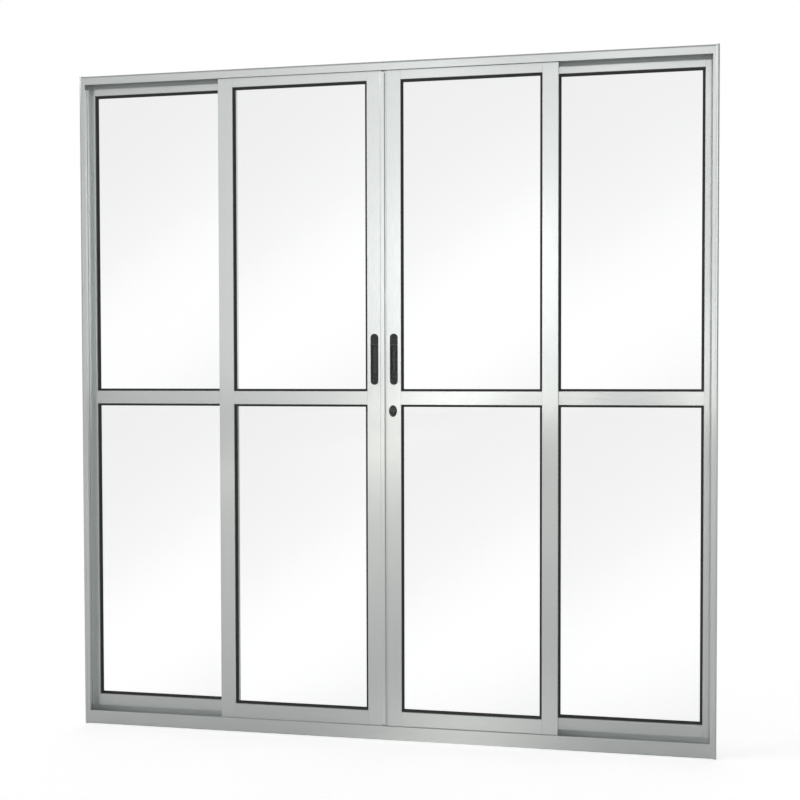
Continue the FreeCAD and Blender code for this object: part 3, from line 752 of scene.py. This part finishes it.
# %% Floor
FLOOR_HALF = 60.0
FLOOR_DROP = 0.5 * MM
bm = bmesh.new()
bmesh.ops.create_grid(bm, x_segments=1, y_segments=1, size=FLOOR_HALF)
bmesh.ops.translate(bm, vec=(0.0, 0.0, -FLOOR_DROP), verts=bm.verts)
floor = new_object(bm, "studio_floor", floor_paint)
print("floor:", 2 * FLOOR_HALF, "m across")

# %% [markdown]
# ## Camera
#
# The photo was taken from a little right of the door's middle, at about chest height. The numbers come from fitting
# a pinhole camera to the frame's straight edges.

# %% Camera
CAMERA_PLACE = Vector((0.7153, -3.5592, 1.1571))
YAW, PITCH, ROLL = math.radians(10.6685), math.radians(1.5445), math.radians(-0.1171)
SENSOR_WIDTH = 36.0
LENS = 52.44
ahead = Vector((-math.sin(YAW) * math.cos(PITCH), math.cos(YAW) * math.cos(PITCH), -math.sin(PITCH)))
right = Vector((math.cos(YAW), math.sin(YAW), 0.0))
up = right.cross(ahead)
rolled_right = math.cos(ROLL) * right + math.sin(ROLL) * up
rolled_up = math.cos(ROLL) * up - math.sin(ROLL) * right
camera_data = bpy.data.cameras.new("camera")
camera_data.sensor_width = SENSOR_WIDTH
camera_data.lens = LENS
camera = bpy.data.objects.new("camera", camera_data)
turn = Matrix((rolled_right, rolled_up, -ahead)).transposed().to_4x4()
camera.matrix_world = Matrix.Translation(CAMERA_PLACE) @ turn
bpy.context.scene.collection.objects.link(camera)
bpy.context.scene.camera = camera
print("camera height:", round(CAMERA_PLACE.z, 3), "m")

# %% [markdown]
# ## Walls of the room
#
# The room is drawn in the world, because lamps would show their hard outlines in the glass. A white wall stands
# behind the door, and a pale one behind the camera, which is dimmer towards the left. Everything else is grey: the
# rounded outer edge of the frame mirrors it and shows as a darker line. A direction is told by its own three parts,
# or by its slopes sideways and upwards from straight ahead, and each wall comes in smoothly over its edges.

# %% Walls of the room
BACK_WALL = 1.0
FRONT_WALL = 0.84
FRONT_LEFT = 0.54
ROOM_GREY = 0.24
LEAST_AHEAD = 0.05
# Where each wall comes in, from nothing to full
BACK_EDGE = (0.42, 0.72)
FRONT_EDGE = (0.35, 0.75)
FRONT_TOP = (0.70, 0.34)
FRONT_RIGHT_END = (0.50, 0.14)
FRONT_LEFT_END = (-1.0, -0.62)
LEFT_TO_MIDDLE = (-0.62, -0.22)
world = bpy.data.worlds.new("white_room")
bpy.context.scene.world = world
world.use_nodes = True
room = world.node_tree


def limited(light, *edges):
    """Light that comes in smoothly over each of its edges."""
    for value, ends in edges:
        light = number_math(room, "MULTIPLY", ease(room, value, ends, curve="SMOOTHSTEP"), light)
    return light


gaze = parts_of(room, coordinates(room, "Generated"))
towards_front = number_math(room, "MULTIPLY", gaze["Y"], -1.0)
forward = number_math(room, "MAXIMUM", towards_front, LEAST_AHEAD)
sideways_slope = number_math(room, "DIVIDE", gaze["X"], forward)
upward_slope = number_math(room, "DIVIDE", gaze["Z"], forward)
behind = ease(room, gaze["Y"], BACK_EDGE, curve="SMOOTHSTEP")
in_front = ease(room, towards_front, FRONT_EDGE, curve="SMOOTHSTEP")
before = limited(in_front, (upward_slope, FRONT_TOP), (sideways_slope, FRONT_RIGHT_END),
                 (sideways_slope, FRONT_LEFT_END))
front_wall = ease(room, sideways_slope, LEFT_TO_MIDDLE, (FRONT_LEFT, FRONT_WALL), "SMOOTHSTEP")
light = number_math(room, "MULTIPLY_ADD", behind, BACK_WALL - ROOM_GREY, ROOM_GREY)
light = number_math(room, "MULTIPLY_ADD", before, number_math(room, "SUBTRACT", front_wall, ROOM_GREY), light)
print("walls:", BACK_WALL, FRONT_WALL, FRONT_LEFT, ROOM_GREY)

# %% [markdown]
# ## Panels of light
#
# Soft panels stand in front of the door. Their places come from the bright patches on the bars: each bar mirrors one
# direction, so a patch says where its light stands. The last of them, far to the right, lights the inner side of the
# left jamb. One strong panel with clear edges hangs high on the left side. The domed plug of the lock mirrors it as a
# small highlight, and the left jamb as a glint at its top. Rays of the camera, straight or through glass, see the
# room as plain white.

# %% Panels of light
SOFT_PANELS = (
    # sideways, upwards, half width, half height, strength
    (-0.095, 0.088, 0.085, 0.092, 1.14),
    (-0.200, 0.090, 0.120, 0.190, 0.36),
    (0.080, 0.100, 0.050, 0.250, 0.12),
    (0.085, 0.015, 0.025, 0.045, 1.10),
    (-0.125, 0.015, 0.040, 0.045, 0.40),
    (0.010, 0.230, 0.050, 0.060, 0.45),
    (-0.150, 0.245, 0.045, 0.050, 0.28),
    (0.550, 0.120, 0.220, 0.260, 2.00),
)
SIDE_PANEL = 4.0
PANEL_BOTTOM = (0.215, 0.25)
PANEL_TOP = (0.60, 0.50)
PANEL_SIDE = (-0.62, -0.80)
PANEL_BACK = (0.10, -0.05)
for *place_and_size, strength in SOFT_PANELS:
    fade = soft_spot(room, sideways_slope, upward_slope, *place_and_size)
    panel = number_math(room, "MULTIPLY", fade, strength)
    light = number_math(room, "MULTIPLY_ADD", panel, in_front, light)
side_panel = limited(SIDE_PANEL, (gaze["Z"], PANEL_BOTTOM), (gaze["Z"], PANEL_TOP), (gaze["X"], PANEL_SIDE),
                     (gaze["Y"], PANEL_BACK))
light = number_math(room, "ADD", light, side_panel)
seen = seen_straight(room, add(room, "ShaderNodeLightPath").outputs)
light = number_math(room, "MULTIPLY_ADD", seen, number_math(room, "SUBTRACT", 1.0, light), light)
room.nodes["Background"].inputs["Color"].default_value = WHITE
room.links.new(light, room.nodes["Background"].inputs["Strength"])
print("panels of light:", len(SOFT_PANELS) + 1)

# %% [markdown]
# ## Plain view transform
#
# The view transform stays plain, so colours come out as they were written.

# %% Plain view transform
bpy.context.scene.view_settings.view_transform = "Standard"
